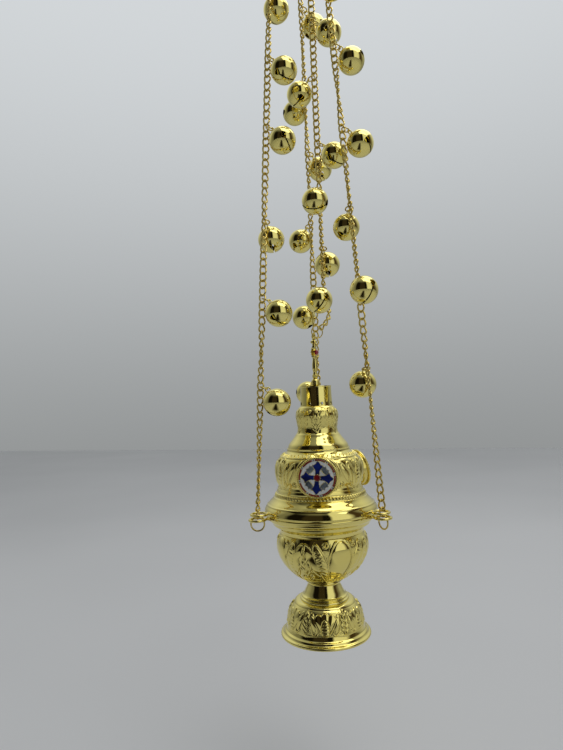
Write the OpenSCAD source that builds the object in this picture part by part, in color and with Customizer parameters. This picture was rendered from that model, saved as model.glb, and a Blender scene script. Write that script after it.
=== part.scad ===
// Hanging thurible censer: embossed bowl on a foot, a lid that slides up three chains, and bells on every chain.
// All heights below are measured from the bottom of the foot; the frame's origin is the seat of the hanging ring.

/* [Bowl and foot] */
// Outer radius of the foot at its rolled rim
foot_r = 36.7; // [35.5:0.1:38]
// Wall of the spun bowl, stem and foot
bowl_wall = 0.9; // [0.7:0.1:1.1]
// Outer radius of the bowl's top flange
rim_r = 45.5; // [44.8:0.1:46]

/* [Lid] */
// Wall of the spun lid
lid_wall = 0.8; // [0.6:0.1:1]
// Height of the lid's lower edge
lid_z = 98.8; // [98.7:0.1:99]
// Radius of the smoke holes at the chimney's base
vent_r = 1.25; // [0.8:0.05:1.6]
// Number of smoke holes
vent_n = 8; // [4:1:10]
// Radius of each round medallion
medal_r = 15.8; // [15.4:0.1:16.4]
// Radius of the enamel disc in a medallion
enamel_r = 14.2; // [12.5:0.1:14.2]

/* [Chain lugs] */
// Radius at which the bowl's lug rings stand
lug_R = 56.2; // [55.9:0.1:56.6]
// Radius of a lug ring, at the middle of its wire
lug_ring = 6.25; // [6.1:0.05:6.5]
// Radius of the wire of a lug ring
lug_wire = 1.0; // [0.8:0.05:1.1]
// Height of the bowl's lug rings
bowl_lug_z = 98.0; // [97.9:0.1:98.1]
// Height of the lid's lug rings
lid_lug_z = 102.0; // [102:0.1:102.4]

/* [Chains] */
// Distance from one link to the next
pitch = 5.9; // [5.86:0.01:5.92]
// Diameter of the chain wire
wire = 1.3; // [1.2:0.05:1.35]
// Number of links on each outer chain
link_n = 94; // [94:1:94]
// Lean of the outer chains towards the axis, per unit of height
lean = 0.066; // [0.0652:0.0002:0.0666]

/* [Bells] */
// Outer radius of a bell
bell_r = 11; // [10.4:0.1:11]
// Wall of a bell
bell_wall = 0.7; // [0.5:0.1:0.9]
// Width of the slit in a bell
slit_w = 1.3; // [0.8:0.1:1.8]
// Radius of the loose pellet inside a bell
pellet_r = 2.6; // [2.4:0.1:3]

/* [Cap and rings] */
// Outer radius of the cap's plate
cap_r = 14.5; // [14:0.1:14.6]
// Radius of the hanging ring, at the middle of its wire
hang_ring = 14.5; // [13.5:0.5:16]
// Radius of the wire of the hanging ring
hang_wire = 1.5; // [1.2:0.1:1.5]
// Radius of the pull ring, at the middle of its wire
pull_ring_r = 6.5; // [6:0.1:7]

/* [View] */
// Which node to draw

/* [Hidden] */
$fn = 48;

gold = [0.83, 0.72, 0.36];
pale = [0.87, 0.78, 0.45];
deep = [0.70, 0.58, 0.24];

eye_z = 690;                                  // where the hanging ring sits in the eye
hang_h = eye_z + 2 * hang_ring - hang_wire;   // seat of the hanging ring above the foot's bottom
slope = atan(lean);
az_left = 210;
az_right = 330;
az_back = 90;
az_lid = 30;                                  // the lid's own chain, between the right and the back chain
gap = 0.1;

// chain link
link_a = (wire + gap + pitch) / 2;            // half length to the middle of the wire
link_b = 2.05;                                // half width to the middle of the wire
link_h = link_a - link_b;

// end ring under each bowl lug
end_R = 5.35;
end_w = 0.65;
end_z = bowl_lug_z - sqrt(pow(end_R + end_w + lug_wire + 0.05, 2) - pow(lug_ring, 2));
first_z = end_z + end_R - end_w - gap + link_a - wire / 2;
step_z = pitch * cos(slope);

// bell hanging gear
jump_R = 3.1;
jump_w = 0.55;
droop = 20;
loop_R = 1.9;
loop_w = 0.5;
arm = bell_r + 2.35;                          // from the bell's middle to the jump ring's wire
stand_off = bell_r + 3.2;                     // from the chain's line to the bell's middle
side_reach = 2 * jump_R * cos(droop);

// lid chain: a slack bow above the finial, then straight up
bow = [50, 35, 10, -10, -20, -12];
bow_r0 = 6.9;
bow_z0 = 249.6;
lid_line_r = 12;
lid_link_n = 66;
function bow_sum(i, f) = i < 0 ? 0 : f(bow[i]) + bow_sum(i - 1, f);
function bow_r(i) = bow_r0 + pitch * (i < 1 ? 0 : bow_sum(i - 1, function (a) sin(a))) + pitch / 2 * sin(bow[i]);
function bow_z(i) = bow_z0 + pitch * (i < 1 ? 0 : bow_sum(i - 1, function (a) cos(a))) + pitch / 2 * cos(bow[i]);
bow_n = len(bow);
line_z = bow_z0 + pitch * bow_sum(bow_n - 1, function (a) cos(a)) + pitch / 2;
line_r = bow_r0 + pitch * bow_sum(bow_n - 1, function (a) sin(a));

// bells: [link number, side (1 or -1), turn of the slit]
bells_left = [[17, 1, 30], [29, 1, 70], [40, -1, 20], [53, 1, 110], [63, 1, 60], [74, -1, 150]];
bells_right = [[19, 1, 80], [31, -1, 25], [41, 1, 140], [52, 1, 95], [64, 1, 130], [73, -1, 45]];
bells_back = [[18, 1, 60], [30, 1, 10], [42, 1, 120], [53, -1, 35], [62, 1, 75], [75, -1, 160]];
bells_lid = [[0, -1, 50], [6, 1, 15], [14, -1, 100], [21, -1, 65], [31, 1, 135], [39, -1, 85]];

// smooth curve through hand-set points [r, z]
function cr(a, b, c, d, t) = 0.5 * ((2 * b) + (c - a) * t + (2 * a - 5 * b + 4 * c - d) * t * t
    + (3 * b - a - 3 * c + d) * t * t * t);
function smooth(p, n) = [for (i = [0:len(p) - 2]) let (a = p[max(i - 1, 0)], b = p[i], c = p[i + 1],
    d = p[min(i + 2, len(p) - 1)]) for (k = [0:n - 1]) cr(a, b, c, d, k / n), p[len(p) - 1]];
function rev(p) = [for (i = [len(p) - 1:-1:0]) p[i]];
function inner(p, w) = [for (q = p) [max(q[0] - w, 0.01), q[1]]];

skirt_p = [[46.5, lid_z], [46.5, 100.4], [45.9, 103], [44.4, 105.4], [42.3, 107.8], [39.6, 110.4],
    [37.8, 113], [36.2, 116], [34.9, 119]];
dome_p = [[34.9, 119], [35.1, 122], [36, 125], [36.6, 129], [36.7, 133], [36.4, 138], [34.8, 142.2],
    [32, 145.2], [28.6, 147.6], [26.1, 149.2], [26.1, 151]];
neck_p = [[25.2, 151], [24.2, 154], [21.4, 157.6], [18.8, 161], [17.2, 164.4], [16.8, 168], [17.2, 172],
    [17.8, 176], [17.7, 179], [16.6, 182], [14.6, 184.2], [13.6, 185]];
bowl_p = [[15, 43], [20.6, 46.2], [25.7, 50], [30, 54.2], [32.9, 58], [35, 61.6], [36.6, 65], [37.7, 69],
    [38, 72.5], [37.8, 76], [36.8, 79.6], [34.7, 83.5]];
rim_p = [[34.7, 83.5], [35, 85.2], [35.9, 86.8], [37.4, 88.2], [39.4, 89.4], [40.2, 90.6], [40.6, 91.8],
    [42.2, 93], [43.4, 94.2], [43.8, 95.6]];
stem_p = [[20, 28.5], [19.7, 29.6], [18.4, 30.3], [18.7, 31.4], [17.4, 32.2], [16.4, 33.6], [15.3, 35.8],
    [14.2, 38], [13.2, 40.2], [13, 41.4], [14.1, 42.4], [15, 43]];
foot_p = [[34, 3.6], [33, 5.6], [32.2, 8], [31.6, 10.5], [31, 13.5], [30.2, 18], [29, 21.6], [27.2, 24.6],
    [25, 27], [23, 28.2], [20, 28.5]];

module at_foot() translate([0, 0, -hang_h]) children();
module around(r, z) for (a = [az_left, az_right, az_back]) rotate([0, 0, a]) translate([r, 0, z]) children();
module ring(R, w) rotate_extrude($fn = 48) translate([R, 0]) circle(r = w, $fn = 24);
module lathe(p) rotate_extrude($fn = 96) polygon(p);
module shell(p, w) lathe(concat(p, rev(inner(p, w))));
module filled(p) lathe(concat([[0, p[0][1]]], p, [[0, p[len(p) - 1][1]]]));

// one stadium link standing on Z, in the XZ plane
module link() {
    for (m = [0, 180]) rotate([0, m, 0]) translate([0, 0, link_h]) rotate([90, 0, 0])
        rotate_extrude(angle = 180, $fn = 32) translate([link_b, 0]) circle(d = wire, $fn = 20);
    for (s = [-1, 1]) translate([s * link_b, 0, -link_h]) cylinder(d = wire, h = 2 * link_h, $fn = 20);
}

function line_R(z) = lug_R - lean * (z - bowl_lug_z);
module outer_chain(az) for (k = [0:link_n - 1]) let (z = first_z + k * step_z)
    rotate([0, 0, az]) translate([line_R(z), 0, z]) rotate([0, -slope, 0])
        rotate([0, 0, 45 + 90 * (k % 2)]) link();

// azimuth of a bell's side, for link k on a chain at azimuth az
function side_az(az, k, s) = az + 45 + 90 * (k % 2) + (s < 0 ? 180 : 0);

// jump ring through the link at [R, z]
module jump(az, R, z, ua) rotate([0, 0, az]) translate([R, 0, z]) rotate([0, 0, ua - az])
    rotate([0, droop, 0]) translate([jump_R, 0, 0]) ring(jump_R, jump_w);

module bell_body(turn) {
    difference() {
        union() {
            difference() {
                sphere(r = bell_r, $fn = 64);
                sphere(r = bell_r - bell_wall, $fn = 64);
            }
            translate([0, 0, bell_r + 1.6]) rotate([90, 0, 0]) ring(loop_R, loop_w);
        }
        rotate([0, 0, turn]) {
            translate([-bell_r * 0.94, -slit_w / 2, -bell_r - 1]) cube([bell_r * 1.88, slit_w, bell_r - 1.5]);
            for (s = [-1, 1]) rotate([0, s * 105, 0]) translate([0, 0, bell_r - 3]) cylinder(r = 2.1, h = 4);
        }
    }
}

// bell on the jump ring of the link at [R, z] of a chain at azimuth az that leans by ln
module bell_at(az, R, z, ua, ln, turn) {
    drop = 12.3;
    reach = stand_off - side_reach + ln * drop * cos(ua - az);
    fall = sqrt(arm * arm - reach * reach);
    tilt = asin(reach / arm);
    c = [R * cos(az), R * sin(az), z];
    u = [cos(ua), sin(ua), 0];
    b = c + (side_reach + reach) * u + [0, 0, -2 * jump_R * sin(droop) - fall];
    translate(b) {
        rotate([0, 0, ua]) rotate([0, -tilt, 0]) bell_body(turn);
        translate([0, 0, -(bell_r - bell_wall - pellet_r - 0.1)]) sphere(r = pellet_r, $fn = 32);
    }
}

module outer_bell(az, list, i) let (k = list[i][0], z = first_z + k * step_z)
    at_foot() color(gold) bell_at(az, line_R(z), z, side_az(az, k, list[i][1]), lean, list[i][2]);
module outer_jumps(az, list) for (b = list) let (z = first_z + b[0] * step_z)
    jump(az, line_R(z), z, side_az(az, b[0], b[1]));
module lid_bell(i) let (k = bells_lid[i][0], z = line_z + k * pitch)
    at_foot() color(gold) bell_at(az_lid, line_r, z, side_az(az_lid, k, bells_lid[i][1]), 0, bells_lid[i][2]);

module hanging_ring() at_foot() color(gold) translate([0, 0, eye_z + hang_ring])
    rotate([0, 0, az_lid]) rotate([0, 90, 0]) ring(hang_ring, hang_wire);

module cap_eye() at_foot() color(gold) rotate([0, 0, az_lid]) {
    translate([0, 0, eye_z - 0.55]) rotate([90, 0, 0]) ring(3.4, 1.2);
    translate([0, 0, 650]) cylinder(r = 2, h = 35.6);
    rotate_extrude() polygon([[0, 672.02], [3.4, 672.02], [4.2, 673.4], [4.4, 675], [4.2, 676.6], [3, 678.4], [2, 680.5],
        [0, 680.5]]);
}

module cap_eye_nut() at_foot() color(deep) translate([0, 0, 651.6]) difference() {
    cylinder(r = 4.2, h = 3.38, $fn = 6);
    translate([0, 0, -1]) cylinder(r = 2.05, h = 6);
}

module cap() at_foot() color(pale) difference() {
    union() {
        translate([0, 0, 655]) cylinder(r = cap_r, h = 2.2, $fn = 96);
        rotate([0, 0, az_lid]) translate([lid_line_r, 0, 655]) cylinder(r = 5.4, h = 2.2);
        lathe([[0, 657.2], [7.2, 657.2], [6.8, 658.6], [5.6, 660.6], [4.6, 663.4], [4, 667], [3.8, 670], [4.2, 671],
            [4.2, 672], [0, 672]]);
        around(16.6, 656.1) ring(3, 1);
    }
    translate([0, 0, 650]) cylinder(r = 2.05, h = 30);
    rotate([0, 0, az_lid]) translate([lid_line_r, 0, 650]) cylinder(r = 3.9, h = 30);
}

module guide_bush() at_foot() color(gold) rotate([0, 0, az_lid]) translate([lid_line_r, 0, 0]) difference() {
    union() {
        translate([0, 0, 654]) cylinder(r = 3.9, h = 4.4);
        translate([0, 0, 653.8]) cylinder(r = 4.8, h = 1.2);
        translate([0, 0, 657.2]) cylinder(r = 4.8, h = 1.2);
    }
    translate([0, 0, 650]) cylinder(r = 3.2, h = 12);
}

cap_link_z = first_z + (link_n - 1) * step_z + link_a * cos(slope) - wire / 2 - 0.55 - 0.55 + 3.2;
module cap_links() at_foot() color(gold) around(line_R(cap_link_z - 3), cap_link_z)
    rotate([90, 0, 0]) ring(3.2, 0.55);

module chain_left() at_foot() color(gold) outer_chain(az_left);
module chain_right() at_foot() color(gold) outer_chain(az_right);
module chain_back() at_foot() color(gold) outer_chain(az_back);
module bell_rings_left() at_foot() color(deep) outer_jumps(az_left, bells_left);
module bell_rings_right() at_foot() color(deep) outer_jumps(az_right, bells_right);
module bell_rings_back() at_foot() color(deep) outer_jumps(az_back, bells_back);

// rings that stop the chains under the bowl's lugs, each turned its own way
module end_rings() at_foot() color(gold)
    for (q = [[az_left, 0], [az_right, 125], [az_back, 25]])
        rotate([0, 0, q[0]]) translate([lug_R, 0, end_z]) rotate([0, 0, q[1] - q[0]]) rotate([90, 0, 0]) ring(end_R, end_w);

module bowl() at_foot() color(gold) difference() {
    p = smooth(bowl_p, 2);
    shell_p = [for (q = p) [q[0] - bowl_wall, max(q[1], 44)]];
    lathe(concat([[0, 43]], p, rev(shell_p), [[0, 44]]));
    translate([0, 0, 40]) cylinder(r = 2.05, h = 10);
}

module bowl_rim() at_foot() color(pale) {
    p = smooth(rim_p, 2);
    lathe(concat(p, [[rim_r, 96.2], [rim_r, 98.6], [42.6, 98.6], [42.6, 95.8]], rev(inner(p, bowl_wall))));
}

leaf = [[43, -5.5], [45.6, -6.4], [46.4, -4.9], [47.2, -5.1], [48, -2.9], [49.2, -1.9], [50.2, -1.6],
    [50.2, 1.6], [49.2, 1.9], [48, 2.9], [47.2, 5.1], [46.4, 4.9], [45.6, 6.4], [43, 5.5]];

module bowl_lugs() at_foot() color(gold) difference() {
    union() {
        around(lug_R, bowl_lug_z) ring(lug_ring, lug_wire);
        around(0, 96.9) linear_extrude(1.5) polygon(leaf);
    }
    translate([0, 0, 90]) cylinder(r = rim_r, h = 12, $fn = 96);
}

module stem() at_foot() color(pale) {
    p = smooth(stem_p, 2);
    lathe(concat(p, [[2.05, 43], [2.05, 41.6]], rev([for (q = p) [q[0] - bowl_wall - 0.3, min(q[1], 41.6)]])));
}

module foot() at_foot() color(gold) {
    p = smooth(foot_p, 2);
    w = bowl_wall;
    lathe(concat([[33.4, 0], [foot_r - 1.1, 0], [foot_r - 0.3, 0.5], [foot_r, 1.3], [foot_r - 0.3, 2.1],
        [foot_r - 1.1, 2.6]], p, [[2.05, 28.5], [2.05, 27.4], [20, 27.4]],
        rev([for (q = p) if (q[0] > 20.5) [q[0] - w, q[1] - 0.7]]), [[33.4, 2]]));
}

module assembly_bolt() at_foot() color(deep) {
    translate([0, 0, 24.2]) cylinder(r = 3.8, h = 3.18, $fn = 6);
    translate([0, 0, 25]) cylinder(r = 2, h = 22);
}

module assembly_nut() at_foot() color(deep) translate([0, 0, 44.02]) difference() {
    cylinder(r = 3.8, h = 2.6, $fn = 6);
    translate([0, 0, -1]) cylinder(r = 2.02, h = 6);
}

module inner_cup() at_foot() color([0.72, 0.70, 0.66]) lathe([[0, 56.4], [16, 56.4], [22.5, 58.4], [27.4, 62.4],
    [30.4, 68], [31.6, 74], [32, 80], [32.2, 86.6], [35.6, 88], [35.6, 88.8], [31.6, 88.2], [31.2, 80], [30.8, 74.4],
    [29.6, 68.6], [26.8, 63.2], [22.2, 59.4], [15.8, 57.4], [0, 57.4]]);

module lid_skirt() at_foot() color(gold) shell(smooth(skirt_p, 2), lid_wall);
module lid_dome() at_foot() color(gold) {
    p = smooth(dome_p, 2);
    lathe(concat(p, [[24.4, 151], [24.4, 150.2]], rev([for (q = p) if (q[0] > 26.2) [q[0] - lid_wall, q[1]]])));
}
module lid_neck() at_foot() color(pale) {
    p = smooth(neck_p, 2);
    lathe(concat(p, [[12.6, 185]], rev([for (q = p) if (q[0] > 13.8) [q[0] - lid_wall, q[1]]])));
}

module chimney() at_foot() color(gold) difference() {
    lathe([[13.4, 185], [12.9, 193], [12.7, 200.6], [12.9, 201], [12.9, 201.5], [1.55, 201.5], [1.55, 200.7], [11.9, 200.7],
        [12.1, 193], [12.6, 185]]);
    for (i = [0:vent_n - 1]) rotate([0, 0, 292.5 + i * 360 / vent_n]) translate([9, 0, 187.2]) rotate([0, 90, 0])
        cylinder(r = vent_r, h = 8);
}

lid_lug_R = 54.8;
module lid_lugs() at_foot() color(gold) difference() {
    union() {
        around(lid_lug_R, lid_lug_z) ring(lug_ring, lug_wire);
        around(-1.4, lid_lug_z - 0.8) linear_extrude(1.6) polygon(leaf);
    }
    filled(smooth(skirt_p, 2));
}

medal_z = 130.8;
medal_R = 37.5;
medal_lean = 12;
medal_az = [270, 30, 126];
module at_medals() for (a = medal_az) rotate([0, 0, a]) translate([medal_R, 0, medal_z])
    rotate([0, 90 - medal_lean, 0]) children();

module medallion_bezels() at_foot() color(pale) {
    difference() {
        union() {
            at_medals() cylinder(r = medal_r, h = 2, $fn = 96);
            at_medals() translate([0, 0, -3]) cylinder(r = 4, h = 3.5);
        }
        filled(smooth(dome_p, 2));
        at_medals() translate([0, 0, 1.2]) cylinder(r = enamel_r, h = 3, $fn = 96);
    }
}
module medallion_enamels() at_foot() color([0.93, 0.93, 0.95]) at_medals() translate([0, 0, 1.2])
    cylinder(r = enamel_r - 0.02, h = 0.6, $fn = 96);

// finial: turned stem, sunburst boss and an eye on top
boss_az = 340;
boss_z = 229.5;
module finial() at_foot() color(gold) {
    lathe([[0, 197.4], [1.5, 197.4], [1.5, 201.52], [3, 201.52], [3.3, 202.6], [3.3, 206], [2.6, 207.2], [1.7, 207.8],
        [2.3, 208.8], [2.4, 210.4], [1.8, 211.6], [1.5, 213], [2.2, 216], [2.1, 220], [1.5, 224], [1.3, 233], [1.4, 236.6],
        [2.8, 237.6], [2.8, 238.8], [1.4, 239.8], [1.1, 241], [0, 241]]);
    translate([0, 0, boss_z]) rotate([0, 0, boss_az]) rotate([0, 90, 0]) {
        translate([0, 0, -1]) linear_extrude(2) polygon([for (i = [0:31]) let (r = i % 2 == 0 ? (i % 8 == 0 ? 6.6 : 5.4) : 4.1)
            [r * cos(i * 11.25), r * sin(i * 11.25)]]);
        translate([0, 0, 0.9]) cylinder(r = 3, h = 0.7);
    }
    translate([0, 0, 243.1]) rotate([0, 0, az_lid + 90]) rotate([90, 0, 0]) ring(2.2, 0.7);
}
module finial_gem() at_foot() color([0.62, 0.04, 0.10]) translate([0, 0, boss_z]) rotate([0, 0, boss_az])
    rotate([0, 90, 0]) translate([0, 0, 1.6]) intersection() {
        sphere(r = 2.3, $fn = 48);
        cylinder(r = 4, h = 4);
    }
module finial_nut() at_foot() color(deep) translate([0, 0, 198.2]) difference() {
    cylinder(r = 3.2, h = 2.48, $fn = 6);
    translate([0, 0, -1]) cylinder(r = 1.52, h = 5);
}

// split ring between the finial's eye and the lid chain
module lid_ring() at_foot() color(gold) rotate([0, 0, az_lid]) translate([3.5, 0, 246.7])
    rotate([90, 0, 0]) ring(5.1, 0.45);

module lid_chain() at_foot() color(gold) {
    for (i = [0:bow_n - 1]) rotate([0, 0, az_lid]) translate([bow_r(i), 0, bow_z(i)]) rotate([0, bow[i], 0])
        rotate([0, 0, 45 + 90 * ((i + bow_n) % 2)]) link();
    for (k = [0:lid_link_n - 1]) rotate([0, 0, az_lid]) translate([line_r, 0, line_z + k * pitch])
        rotate([0, 0, 45 + 90 * (k % 2)]) link();
}
module bell_rings_lid() at_foot() color(deep) for (b = bells_lid)
    jump(az_lid, line_r, line_z + b[0] * pitch, side_az(az_lid, b[0], b[1]));

pull_az = side_az(az_lid, lid_link_n - 1, -1);
module pull_ring() at_foot() color(gold) rotate([0, 0, az_lid])
    translate([line_r, 0, line_z + (lid_link_n - 1) * pitch + link_a - wire / 2 - gap - 0.9])
        rotate([0, 0, pull_az - az_lid]) rotate([0, 15, 0]) translate([pull_ring_r, 0, 0]) ring(pull_ring_r, 0.9);

hanging_ring();
cap_eye();
cap_eye_nut();
cap();
guide_bush();
cap_links();
chain_left();
chain_right();
chain_back();
bell_rings_left();
bell_rings_right();
bell_rings_back();
end_rings();
bowl();
bowl_rim();
bowl_lugs();
stem();
foot();
assembly_bolt();
assembly_nut();
inner_cup();
lid_skirt();
lid_dome();
lid_neck();
chimney();
lid_lugs();
medallion_bezels();
medallion_enamels();
finial();
finial_gem();
finial_nut();
lid_ring();
lid_chain();
bell_rings_lid();
pull_ring();
outer_bell(az_left, bells_left, 0);  // bell_left_1
outer_bell(az_left, bells_left, 1);  // bell_left_2
outer_bell(az_left, bells_left, 2);  // bell_left_3
outer_bell(az_left, bells_left, 3);  // bell_left_4
outer_bell(az_left, bells_left, 4);  // bell_left_5
outer_bell(az_left, bells_left, 5);  // bell_left_6
outer_bell(az_right, bells_right, 0);  // bell_right_1
outer_bell(az_right, bells_right, 1);  // bell_right_2
outer_bell(az_right, bells_right, 2);  // bell_right_3
outer_bell(az_right, bells_right, 3);  // bell_right_4
outer_bell(az_right, bells_right, 4);  // bell_right_5
outer_bell(az_right, bells_right, 5);  // bell_right_6
outer_bell(az_back, bells_back, 0);  // bell_back_1
outer_bell(az_back, bells_back, 1);  // bell_back_2
outer_bell(az_back, bells_back, 2);  // bell_back_3
outer_bell(az_back, bells_back, 3);  // bell_back_4
outer_bell(az_back, bells_back, 4);  // bell_back_5
outer_bell(az_back, bells_back, 5);  // bell_back_6
lid_bell(0);  // bell_lid_1
lid_bell(1);  // bell_lid_2
lid_bell(2);  // bell_lid_3
lid_bell(3);  // bell_lid_4
lid_bell(4);  // bell_lid_5
lid_bell(5);  // bell_lid_6
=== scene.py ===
"""Looks of the hanging thurible censer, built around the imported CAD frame.

Lengths below are in mm, and heights are measured from the foot's bottom.
"""
import math

import bmesh
import bpy
import numpy as np
from mathutils import Matrix, Vector


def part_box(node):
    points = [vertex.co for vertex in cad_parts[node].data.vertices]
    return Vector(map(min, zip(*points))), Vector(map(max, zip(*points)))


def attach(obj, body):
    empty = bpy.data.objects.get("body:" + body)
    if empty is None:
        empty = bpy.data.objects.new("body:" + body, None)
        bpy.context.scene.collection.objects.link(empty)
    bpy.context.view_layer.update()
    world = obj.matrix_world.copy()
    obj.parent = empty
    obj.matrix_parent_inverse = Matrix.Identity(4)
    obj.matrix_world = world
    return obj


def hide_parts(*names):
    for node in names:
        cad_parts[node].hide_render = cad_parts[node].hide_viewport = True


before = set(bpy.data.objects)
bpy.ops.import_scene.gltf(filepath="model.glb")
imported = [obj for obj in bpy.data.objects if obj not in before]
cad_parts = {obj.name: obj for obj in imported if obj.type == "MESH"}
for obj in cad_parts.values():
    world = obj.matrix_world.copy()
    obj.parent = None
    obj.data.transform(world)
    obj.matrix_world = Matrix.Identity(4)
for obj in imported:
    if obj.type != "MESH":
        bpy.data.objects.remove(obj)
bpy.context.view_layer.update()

MM = 0.001
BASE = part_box("foot")[0].z
TAU = 2 * math.pi
AZ_LEFT, AZ_RIGHT, AZ_BACK, AZ_LID = 210.0, 330.0, 90.0, 30.0
LUG_AZ = (AZ_LEFT, AZ_RIGHT, AZ_BACK)
LUG_R, LUG_Z = 56.2, 98.0
LID_LUG_R, LID_LUG_Z = LUG_R - 1.4, 102.0


# -------- materials

def new_material(name):
    m = bpy.data.materials.new(name)
    m.use_nodes = True
    nt = m.node_tree
    return m, nt, nt.nodes["Principled BSDF"]


def ramp(nt, fac, stops):
    r = nt.nodes.new("ShaderNodeValToRGB")
    e = r.color_ramp.elements
    while len(e) < len(stops):
        e.new(0.5)
    for el, (p, c) in zip(e, stops):
        el.position = p
        el.color = (*c, 1)
    nt.links.new(fac, r.inputs["Fac"])
    return r.outputs["Color"]


def noise(nt, scale, detail=3.0, rough=0.5, kind="ShaderNodeTexNoise"):
    tc = nt.nodes.new("ShaderNodeTexCoord")
    n = nt.nodes.new(kind)
    n.inputs["Scale"].default_value = scale
    if kind == "ShaderNodeTexNoise":
        n.inputs["Detail"].default_value = detail
        n.inputs["Roughness"].default_value = rough
    nt.links.new(tc.outputs["Object"], n.inputs["Vector"])
    return n


def math_node(nt, op, a, b=None, clamp=False):
    n = nt.nodes.new("ShaderNodeMath")
    n.operation = op
    n.use_clamp = clamp
    for i, v in enumerate((a, b)):
        if v is None:
            continue
        if isinstance(v, (int, float)):
            n.inputs[i].default_value = v
        else:
            nt.links.new(v, n.inputs[i])
    return n.outputs[0]


def drift(nt, scale, detail, dark, light):
    """A colour that wanders between dark and light."""
    return ramp(nt, noise(nt, scale, detail).outputs["Fac"], [(0.3, dark), (0.7, light)])


def between(nt, source, low, high, ends=(0.0, 1.0)):
    """source, stretched so that its ends land on low and high."""
    n = nt.nodes.new("ShaderNodeMapRange")
    for key, v in zip(("From Min", "From Max", "To Min", "To Max"), (*ends, low, high)):
        n.inputs[key].default_value = v
    nt.links.new(source, n.inputs["Value"])
    return n.outputs["Result"]


def bumps(nt, height, strength, distance, under=None):
    n = nt.nodes.new("ShaderNodeBump")
    n.inputs["Strength"].default_value = strength
    n.inputs["Distance"].default_value = distance
    nt.links.new(height, n.inputs["Height"])
    if under is not None:
        nt.links.new(under, n.inputs["Normal"])
    return n.outputs["Normal"]


def mix_colour(nt, fac, a, b, blend="MIX"):
    """fac, a and b are each a socket or a plain value."""
    n = nt.nodes.new("ShaderNodeMix")
    n.data_type = "RGBA"
    n.blend_type = blend
    for slot, v in ((n.inputs[0], fac), (n.inputs[6], a), (n.inputs[7], b)):
        if isinstance(v, bpy.types.NodeSocket):
            nt.links.new(v, slot)
        else:
            slot.default_value = (*v, 1) if isinstance(v, tuple) else v
    return n.outputs[2]


# tint and strength of the painted shade that darkens the brass in its hollows
PAINTED_SHADE_TINT, PAINTED_SHADE_DEPTH = (0.30, 0.20, 0.07), 0.85
TONE_SCALE, POLISH_SCALE, DENT_SCALE, STIPPLE_SCALE = 28.0, 420.0, 90.0, 1150.0
DENT_DEPTH, STIPPLE_DEPTH, GRAIN_DEPTH = 0.001, 0.0004, 0.0005
COAT_ROUGHNESS = 0.05


def brass(name, light, dark, rough, stipple=0.0, dent=0.02):
    """Polished brass: tone drifts slowly, hollows are darkened with painted shade and the ornaments' ground
    is stippled.
    """
    m, nt, b = new_material(name)
    b.inputs["Metallic"].default_value = 1.0
    tone = drift(nt, TONE_SCALE, 3.0, dark, light)
    geo = nt.nodes.new("ShaderNodeNewGeometry")
    # painted shade: hollows found by pointiness get a darker base colour
    painted_shade = ramp(nt, geo.outputs["Pointiness"], [(0.40, PAINTED_SHADE_TINT), (0.485, (1, 1, 1))])
    nt.links.new(mix_colour(nt, PAINTED_SHADE_DEPTH, tone, painted_shade, "MULTIPLY"), b.inputs["Base Color"])
    fine = noise(nt, POLISH_SCALE, 4.0, 0.6)
    nt.links.new(between(nt, fine.outputs["Fac"], *rough, ends=(0.3, 0.7)), b.inputs["Roughness"])
    normal = bumps(nt, noise(nt, DENT_SCALE, 2.0).outputs["Fac"], dent, DENT_DEPTH)
    if stipple:
        at = nt.nodes.new("ShaderNodeAttribute")
        at.attribute_name = "ground"
        cells = noise(nt, STIPPLE_SCALE, kind="ShaderNodeTexVoronoi")
        height = math_node(nt, "MULTIPLY", cells.outputs["Distance"], at.outputs["Fac"])
        normal = bumps(nt, height, stipple, STIPPLE_DEPTH, normal)
    nt.links.new(normal, b.inputs["Normal"])
    return m


LIGHT = (0.91, 0.79, 0.27)
MID = (0.85, 0.72, 0.21)
M_EMBOSS = brass("brass_embossed", LIGHT, MID, (0.035, 0.09), stipple=0.10)
M_PLAIN = brass("brass_spun", LIGHT, (0.87, 0.75, 0.24), (0.05, 0.10), dent=0.012)
M_BELL = brass("brass_bell", LIGHT, (0.86, 0.73, 0.22), (0.04, 0.09), dent=0.012)
M_CHAIN = brass("brass_chain", (0.80, 0.65, 0.22), (0.62, 0.47, 0.12), (0.07, 0.15), dent=0.04)
M_CAST = brass("brass_cast", (0.89, 0.76, 0.25), (0.80, 0.66, 0.18), (0.08, 0.18), dent=0.05)


def coated(name, light, dark, rough, coat=0.6, scale=160.0, metallic=0.0):
    """Enamel or ground steel: tone and gloss vary a little over the face."""
    m, nt, b = new_material(name)
    b.inputs["Metallic"].default_value = metallic
    b.inputs["Coat Weight"].default_value = coat
    b.inputs["Coat Roughness"].default_value = COAT_ROUGHNESS
    nt.links.new(drift(nt, scale, 4.0, dark, light), b.inputs["Base Color"])
    grain = noise(nt, scale * 3, 3.0).outputs["Fac"]
    nt.links.new(between(nt, grain, rough * 0.7, rough * 1.4), b.inputs["Roughness"])
    nt.links.new(bumps(nt, grain, 0.04, GRAIN_DEPTH), b.inputs["Normal"])
    return m


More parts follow.
